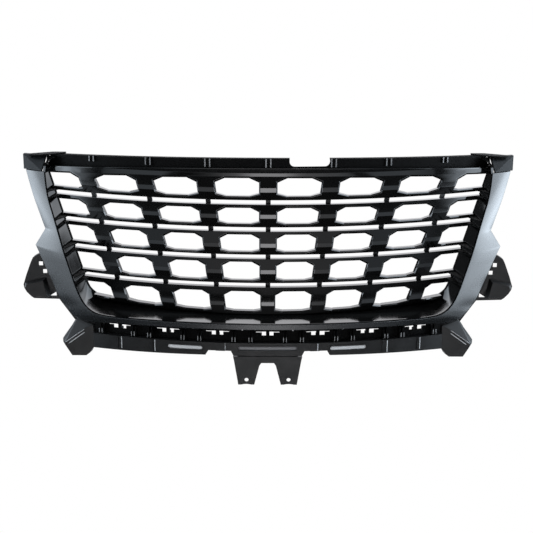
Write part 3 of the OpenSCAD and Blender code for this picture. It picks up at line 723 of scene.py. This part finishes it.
for node, edge in (("upper_flange", 0.45), ("lower_carrier", 0.3), ("centre_bracket", 0.5),
                   ("left_corner_block", 0.9), ("right_corner_block", 0.9), ("left_side_bracket", 0.7),
                   ("right_side_bracket", 0.7), ("left_locating_tab", 0.5), ("right_locating_tab", 0.5)):
    rounded_copy(node, f"{node}_moulded", edge)
for node in ("left_top_cap", "right_top_cap"):
    rounded_copy(node, f"{node}_moulded", 0.5, CAP_GREY)
for k in range(1, 8):
    rounded_copy(f"tie_rib_{k}", f"tie_rib_{k}_moulded", 0.5)
rounded_copy("snap_clips", "snap_clips_moulded", 0.25)
for node in ("rib_screws", "flange_screws", "carrier_screws", "bracket_screws"):
    rounded_copy(node, f"{node}_turned", 0.22)

# ---- Carrier trim ----

STRIP_HIGH = 81.0
STRIP_LOW = 54.0
STRIP_FRONT = 8.2
NOTCH_UP = 64.0  # the strip's lower edge above the centre bracket, within NOTCH_OUT
NOTCH_OUT = 122.0
SLOT_H = 8.5
SLOT_HIGHLIGHT_INSET = 0.5
# Long recesses in the carrier strip: middle, length, height, and the light material painted on their
# floors as a highlight
SLOTS = ((-169, 72, 68.5, BRIGHT_SLOT_HIGHLIGHT), (0, 120, 70, DIM_SLOT_HIGHLIGHT), (164.5, 75, 68.5, BRIGHT_SLOT_HIGHLIGHT))
STRIP_RIBS = (-303, -232, -87, 102, 246, 316)
RIB_PROUD = 1.3
PAD_PROUD = 1.5  # the right-hand ribs stand on the strip's raised pads
SNAP_PITCH = 104.5
SNAP_RIB = 35.0
RIB_PAIR = 3.0
RIB_TIP = ((83.0, 0.6), (84.0, 1.0), (91.5, 1.0), (93.0, 0.6))  # height, share of the section
RIB_TIP_SECTION = ((-0.8, -0.4), (-0.7, 0.2), (0, 0.4), (0.7, 0.2), (0.8, -0.4))
RIB_TIP_DEPTH = 2.0


def strip_point(x, z, depth):
    """A point on the carrier's curved front strip, depth behind its face."""
    r = LIP_R - STRIP_FRONT - depth
    return Vector((x, LIP_R - LIP_FRONT - math.sqrt(r * r - x * x), z))


def slot_highlight_mesh(middle, length, height):
    """A crowned, round-ended strip on the floor of a long recess, painted light as the highlight there.
    """
    bm = bmesh.new()
    r = SLOT_H / 2 - SLOT_HIGHLIGHT_INSET
    straight = length / 2 - SLOT_H / 2
    along = 24
    outline = [(straight - 2 * straight * i / along, r) for i in range(along + 1)]
    turn = [math.pi * i / 12 for i in range(1, 12)]
    outline += [(-straight - r * math.sin(a), r * math.cos(a)) for a in turn]
    outline += [(-x, -z) for x, z in outline]
    rings = [(1.0, 1.0), (1.0, 0.55), (0.72, 0.15), (0.25, 0.0)]
    loops = []
    for share, depth in rings:
        loops.append([bm.verts.new(strip_point(
            middle + (x if abs(x) < straight else math.copysign(straight, x)
                      + (x - math.copysign(straight, x)) * share), height + z * share, depth))
            for x, z in outline])
    for a, b in zip(loops, loops[1:]):
        for i in range(len(a)):
            j = (i + 1) % len(a)
            bm.faces.new((a[i], a[j], b[j], b[i]))
    last = loops[-1]
    half = len(last) // 2
    for i in range(along):
        bm.faces.new((last[i], last[i + 1], last[half + along - i - 1], last[half + along - i]))
    bm.faces.new(last[along:half + 1])
    bm.faces.new(last[half + along:] + last[:1])
    bm.faces.new(list(reversed(loops[0])))
    return bm


def strip_rib_mesh(x):
    """An upright rib with a narrow crest, on the carrier's front strip."""
    bm = bmesh.new()
    low = (NOTCH_UP if abs(x) < NOTCH_OUT else STRIP_LOW) + 1
    rings = []
    for z in (low, low + 1.2, mix(low, STRIP_HIGH, 0.5), STRIP_HIGH - 2.2, STRIP_HIGH - 1):
        proud = RIB_PROUD * (0.4 if z in (low, STRIP_HIGH - 1) else 1.0)
        base = PAD_PROUD if x > 0 else 0.0
        section = [(1.1, 0.6), (0.9, -0.2), (0.35, -proud)]
        section = [(-u, v) for u, v in section] + section[::-1]
        rings.append([strip_point(x + u, z, v - base) for u, v in section])
    sweep(bm, rings)
    return bm


def rib_tip_mesh():
    """Rounded front ends of the upright ribs that join the carrier's shelf to its wall."""
    bm = bmesh.new()
    for k in PILLARS:
        for d in (-1, 1):
            for e in (-1, 1):
                x = k * SNAP_PITCH + d * SNAP_RIB + e * RIB_PAIR
                rings = []
                for z, full in RIB_TIP:
                    section = [(u * full, v * full) for u, v in RIB_TIP_SECTION]
                    rings.append([strip_point(x + u, z, RIB_TIP_DEPTH - v) for u, v in section])
                sweep(bm, rings)
    return bm


BLOCK_FRONT = 66.0
# Ridges on each corner block's front face, painted light grey as a highlight: start and end, as [x, z],
# and half width
BLOCK_RIDGES = (((385.5, 85.6), (426.2, 56.8), 0.6), ((385.0, 79.0), (419.5, 54.2), 0.9))
RIDGE_ENDS = ((0.0, 0.5), (0.05, 1.0), (0.95, 1.0), (1.0, 0.5))  # place along it, share of the section
RIDGE_SECTION = ((-1, -0.3), (-0.8, 0.25), (0, 0.5), (0.8, 0.25), (1, -0.3))


def ridge_mesh(side, start, end, half):
    """A rounded ridge on a corner block's front face."""
    bm = bmesh.new()
    a, b = Vector((side * start[0], 0, start[1])), Vector((side * end[0], 0, end[1]))
    across = Vector((a.z - b.z, 0, b.x - a.x)).normalized() * half
    rings = []
    for t, full in RIDGE_ENDS:
        p = a.lerp(b, t)
        section = [(u * full, v * full) for u, v in RIDGE_SECTION]
        rings.append([p + across * u + Vector((0, BLOCK_FRONT - v, 0)) for u, v in section])
    sweep(bm, rings)
    return bm


for side, name in ((-1, "left"), (1, "right")):
    for i, (start, end, half) in enumerate(BLOCK_RIDGES, 1):
        ridge = ridge_mesh(side, start, end, half)
        # Painted highlight: the ridges are light grey
        piece(f"{name}_block_ridge_{i}", ridge, RIDGE_HIGHLIGHT_GREY, [])
# Painted highlights: light strips on the slot floors
for i, (middle, length, height, material) in enumerate(SLOTS, 1):
    piece(f"carrier_slot_highlight_{i}", slot_highlight_mesh(middle, length, height), material, [])
# Painted highlight: the ribs' front ends are light grey
piece("carrier_rib_tips", rib_tip_mesh(), EDGE_HIGHLIGHT_GREY, [])
# Painted highlight: the strip's ribs are light grey
for i, x in enumerate(STRIP_RIBS, 1):
    piece(f"carrier_rib_{i}", strip_rib_mesh(x), RIDGE_HIGHLIGHT_GREY, [])

# ---- Second materials on parts of a piece, painted shade and painted highlights, and painted shade in the caps' seams ----

EDGE_SLACK = 0.5
# Painted shade on the carrier's wall above its strip, where the lip shades it
carrier = bpy.data.objects["lower_carrier_moulded"].data
carrier.materials.append(SHADE_BLACK)
for face in carrier.polygons:
    if face.center.z > (STRIP_HIGH + EDGE_SLACK) * MM:
        face.material_index = 1

FLANGE_FACE = RAIL_DEPTH + CLEAR
FACING_FRONT = -0.8
# Painted shade on the flange's faces behind its front face, and a painted highlight on the
# forward-facing faces that stand in front of it
flange = bpy.data.objects["upper_flange_moulded"].data
flange.materials.append(SHADE_BLACK)
flange.materials.append(EDGE_HIGHLIGHT_GREY)
for face in flange.polygons:
    x, y, _ = face.center / MM
    if y > mesh_y(x, FLANGE_FACE - EDGE_SLACK):
        face.material_index = 1
    elif face.normal.y < FACING_FRONT:
        face.material_index = 2

# A dark strip of painted shade closes the seam between each fin's top and its cap: its front edge, as
# [x, y]
SEAM = ((475.0, 151.8), (512.0, 183.6))
SEAM_LOW, SEAM_HIGH, SEAM_T = 401.0, 408.3, 2.5
for side, name in ((-1, "left"), (1, "right")):
    bm = bmesh.new()
    (x0, y0), (x1, y1) = SEAM
    outline = [(side * x, y) for x, y in ((x0, y0), (x1, y1), (x1, y1 + SEAM_T), (x0, y0 + SEAM_T))]
    prism(bm, [(x, y, SEAM_LOW) for x, y in outline], [(x, y, SEAM_HIGH) for x, y in outline])
    piece(f"{name}_cap_seam_shade", bm, SHADE_BLACK, [], edge=0.4)

# The side brackets' cups get a painted highlight on their outer bevel, outside and below these two
CUP_EDGE = 514.0
CUP_TOP = 171.0
SLANT_FRONT = -0.2
SLANT_ASIDE = 0.3
for side in ("left", "right"):
    # Painted shade: the locating tabs take the dark shade material
    bpy.data.objects[f"{side}_locating_tab_moulded"].data.materials[0] = SHADE_BLACK
    bracket = bpy.data.objects[f"{side}_side_bracket_moulded"].data
    bracket.materials.append(EDGE_HIGHLIGHT_GREY)
    for face in bracket.polygons:
        x, _, z = face.center / MM
        slanted = face.normal.y < SLANT_FRONT and abs(face.normal.x) > SLANT_ASIDE
        if abs(x) > CUP_EDGE and z < CUP_TOP and slanted:
            face.material_index = 1


# ---- Stage, light and camera ----


def emission(name, colour, strength):
    mat = bpy.data.materials.new(name)
    mat.use_nodes = True
    nodes = mat.node_tree.nodes
    nodes.clear()
    light = nodes.new("ShaderNodeEmission")
    light.inputs["Color"].default_value = (*colour, 1)
    light.inputs["Strength"].default_value = strength
    out = nodes.new("ShaderNodeOutputMaterial")
    mat.node_tree.links.new(light.outputs[0], out.inputs["Surface"])
    return mat


def stage_object(name, bm, material):
    mesh = bpy.data.meshes.new(name)
    bm.to_mesh(mesh)
    bm.free()
    obj = bpy.data.objects.new(name, mesh)
    bpy.context.scene.collection.objects.link(obj)
    mesh.materials.append(material)
    return obj


def backdrop():
    """A white dome that only the camera sees, so that the ground stays plain from every side."""
    bm = bmesh.new()
    bmesh.ops.create_icosphere(bm, subdivisions=4, radius=30)
    dome = stage_object("backdrop", bm, emission("backdrop white", (1.0, 1.0, 1.0), 1.0))
    dome.visible_diffuse = False
    dome.visible_glossy = False
    dome.visible_transmission = False
    dome.visible_shadow = False


def floor():
    """A pale floor below the grille. Gloss doesn't mirror it: the sky does that work."""
    mat = emission("floor white", (1.0, 1.0, 1.0), 1.0)
    bm = bmesh.new()
    bmesh.ops.create_grid(bm, x_segments=4, y_segments=4, size=14)
    bmesh.ops.translate(bm, vec=(0, 0, -0.30), verts=bm.verts)
    plane = stage_object("floor", bm, mat)
    plane.visible_glossy = False


AMBIENT = 0.03
MIDDLE_TINT = (0.97, 0.97, 1.0, 1)
SIDE_TINT = (0.80, 0.90, 1.0, 1)


def world():
    """The studio that the gloss mirrors: panels behind and at the sides, small boxes in front."""
    w = bpy.data.worlds.new("studio")
    bpy.context.scene.world = w
    w.use_nodes = True
    nodes, links = w.node_tree.nodes, w.node_tree.links
    nodes.clear()
    direction = nodes.new("ShaderNodeTexCoord").outputs["Generated"]
    split = nodes.new("ShaderNodeSeparateXYZ")
    links.new(direction, split.inputs[0])
    x, y, z = split.outputs

    def calc(op, a, b):
        node = nodes.new("ShaderNodeMath")
        node.operation = op
        for i, v in enumerate((a, b)):
            if isinstance(v, (int, float)):
                node.inputs[i].default_value = v
            else:
                links.new(v, node.inputs[i])
        return node.outputs[0]

    def fade(value, start, end):
        node = nodes.new("ShaderNodeMapRange")
        node.interpolation_type = "SMOOTHSTEP"
        links.new(value, node.inputs["Value"])
        node.inputs["From Min"].default_value = start
        node.inputs["From Max"].default_value = end
        return node.outputs["Result"]

    def times(*factors):
        product = factors[0]
        for factor in factors[1:]:
            product = calc("MULTIPLY", product, factor)
        return product

    def band(value, low, high, soft):
        return times(fade(value, low - soft, low), fade(value, high + soft, high))

    def patch(toward, reach, soft):
        """A soft round light in a direction; reach and soft are in degrees from its middle."""
        node = nodes.new("ShaderNodeVectorMath")
        node.operation = "DOT_PRODUCT"
        links.new(direction, node.inputs[0])
        node.inputs[1].default_value = Vector(toward).normalized()
        outer, inner = (math.cos(math.radians(a)) for a in (reach + soft, reach))
        return fade(node.outputs["Value"], outer, inner)

    flat = calc("SQRT", calc("SUBTRACT", 1.0001, times(z, z)), 0.0)
    azimuth = calc("DIVIDE", x, flat)
    side_right = fade(azimuth, 0.84, 0.93)
    side_left = fade(azimuth, -0.84, -0.93)
    low_right = fade(azimuth, 0.78, 0.87)
    low_left = fade(azimuth, -0.78, -0.87)
    aside = calc("ABSOLUTE", x, 0.0)
    lights = (
        # open studio behind, mirrored along the rails' tops and, below that, in the left wall
        (times(fade(y, 0.15, 0.50), band(z, 0.12, 0.55, 0.06)), 1.8),
        (times(fade(y, 0.60, 0.80), band(z, -0.02, 0.08, 0.03), fade(x, 0.08, 0.26)), 0.9),
        (times(fade(y, 0.60, 0.80), band(z, -0.24, -0.12, 0.08), fade(x, 0.04, 0.30)), 0.6),
        # pale ground behind and below, in the windows' upper bevels
        (times(fade(y, 0.25, 0.45), band(z, -0.86, -0.62, 0.05)), 4.0),
        (patch((0.36, 0.44, -0.83), 9, 6), 8.0),
        (patch((-0.42, 0.40, -0.82), 7, 6), 6.0),
        # overhead, brighter to the right
        (fade(z, 0.86, 0.98), 0.1),
        (patch((0.55, 0.05, 0.83), 12, 12), 1.5),
        # sides, for the fins: high and strong, fading low down
        (times(side_right, fade(z, -0.40, 0.0)), 5.5),
        (times(side_right, band(z, -0.35, 0.12, 0.06)), 5.0),
        (times(low_right, band(z, -0.45, -0.12, 0.06)), 3.0),
        (times(side_left, fade(z, -0.25, -0.05)), 3.4),
        (times(side_left, band(z, -0.20, 0.20, 0.06)), 3.0),
        (times(low_left, band(z, -0.38, -0.10, 0.05)), 2.2),
        # front: a wide weak strip, a small strong box inside it and another weak strip higher up
        (times(fade(y, -0.45, -0.75), band(z, -0.165, 0.0, 0.03)), 0.9),
        (times(fade(y, -0.80, -0.97), band(z, -0.165, 0.0, 0.03), band(x, -0.11, 0.11, 0.13)), 5.0),
        (times(fade(y, -0.45, -0.75), band(z, 0.17, 0.34, 0.05)), 0.5),
        # below them, for the lip, the carrier and the centre bracket
        (times(fade(y, -0.70, -0.90), band(z, -0.42, -0.27, 0.03), band(x, -0.04, 0.05, 0.14)), 3.5),
        (times(fade(y, -0.70, -0.90), band(z, -0.42, -0.27, 0.03), band(x, -0.15, 0.35, 0.25)), 1.3),
        # high in front, for the faces that lean back
        (times(fade(y, -0.20, -0.40), band(z, 0.70, 0.85, 0.06), band(x, -0.4, 0.4, 0.2)), 3.0),
    )
    light = AMBIENT
    for part, strength in lights:
        light = calc("ADD", light, times(part, strength))
    ground = nodes.new("ShaderNodeBackground")
    tint = nodes.new("ShaderNodeMix")
    tint.data_type = "RGBA"
    links.new(fade(aside, 0.15, 0.60), tint.inputs["Factor"])
    tint.inputs[6].default_value = MIDDLE_TINT
    tint.inputs[7].default_value = SIDE_TINT
    links.new(tint.outputs[2], ground.inputs["Color"])
    links.new(light, ground.inputs["Strength"])
    out = nodes.new("ShaderNodeOutputWorld")
    links.new(ground.outputs[0], out.inputs["Surface"])


CAMERA_ELEVATION = math.radians(15.0)
CAMERA_ROLL = math.radians(0.22)
CAMERA_DISTANCE = 1.897
CAMERA_LENS = 62.8
TARGET = Vector((-0.003, 0.045, 0.229))


def camera():
    data = bpy.data.cameras.new("camera")
    data.lens = CAMERA_LENS
    data.sensor_width = 36.0
    obj = bpy.data.objects.new("camera", data)
    bpy.context.scene.collection.objects.link(obj)
    back = Vector((0, -math.cos(CAMERA_ELEVATION), math.sin(CAMERA_ELEVATION)))
    obj.location = TARGET + back * CAMERA_DISTANCE
    turn = back.to_track_quat("Z", "Y").to_matrix() @ Matrix.Rotation(CAMERA_ROLL, 3, "Z")
    obj.rotation_euler = turn.to_euler()
    bpy.context.scene.camera = obj


backdrop()
floor()
world()
camera()
bpy.context.scene.view_settings.view_transform = "Standard"
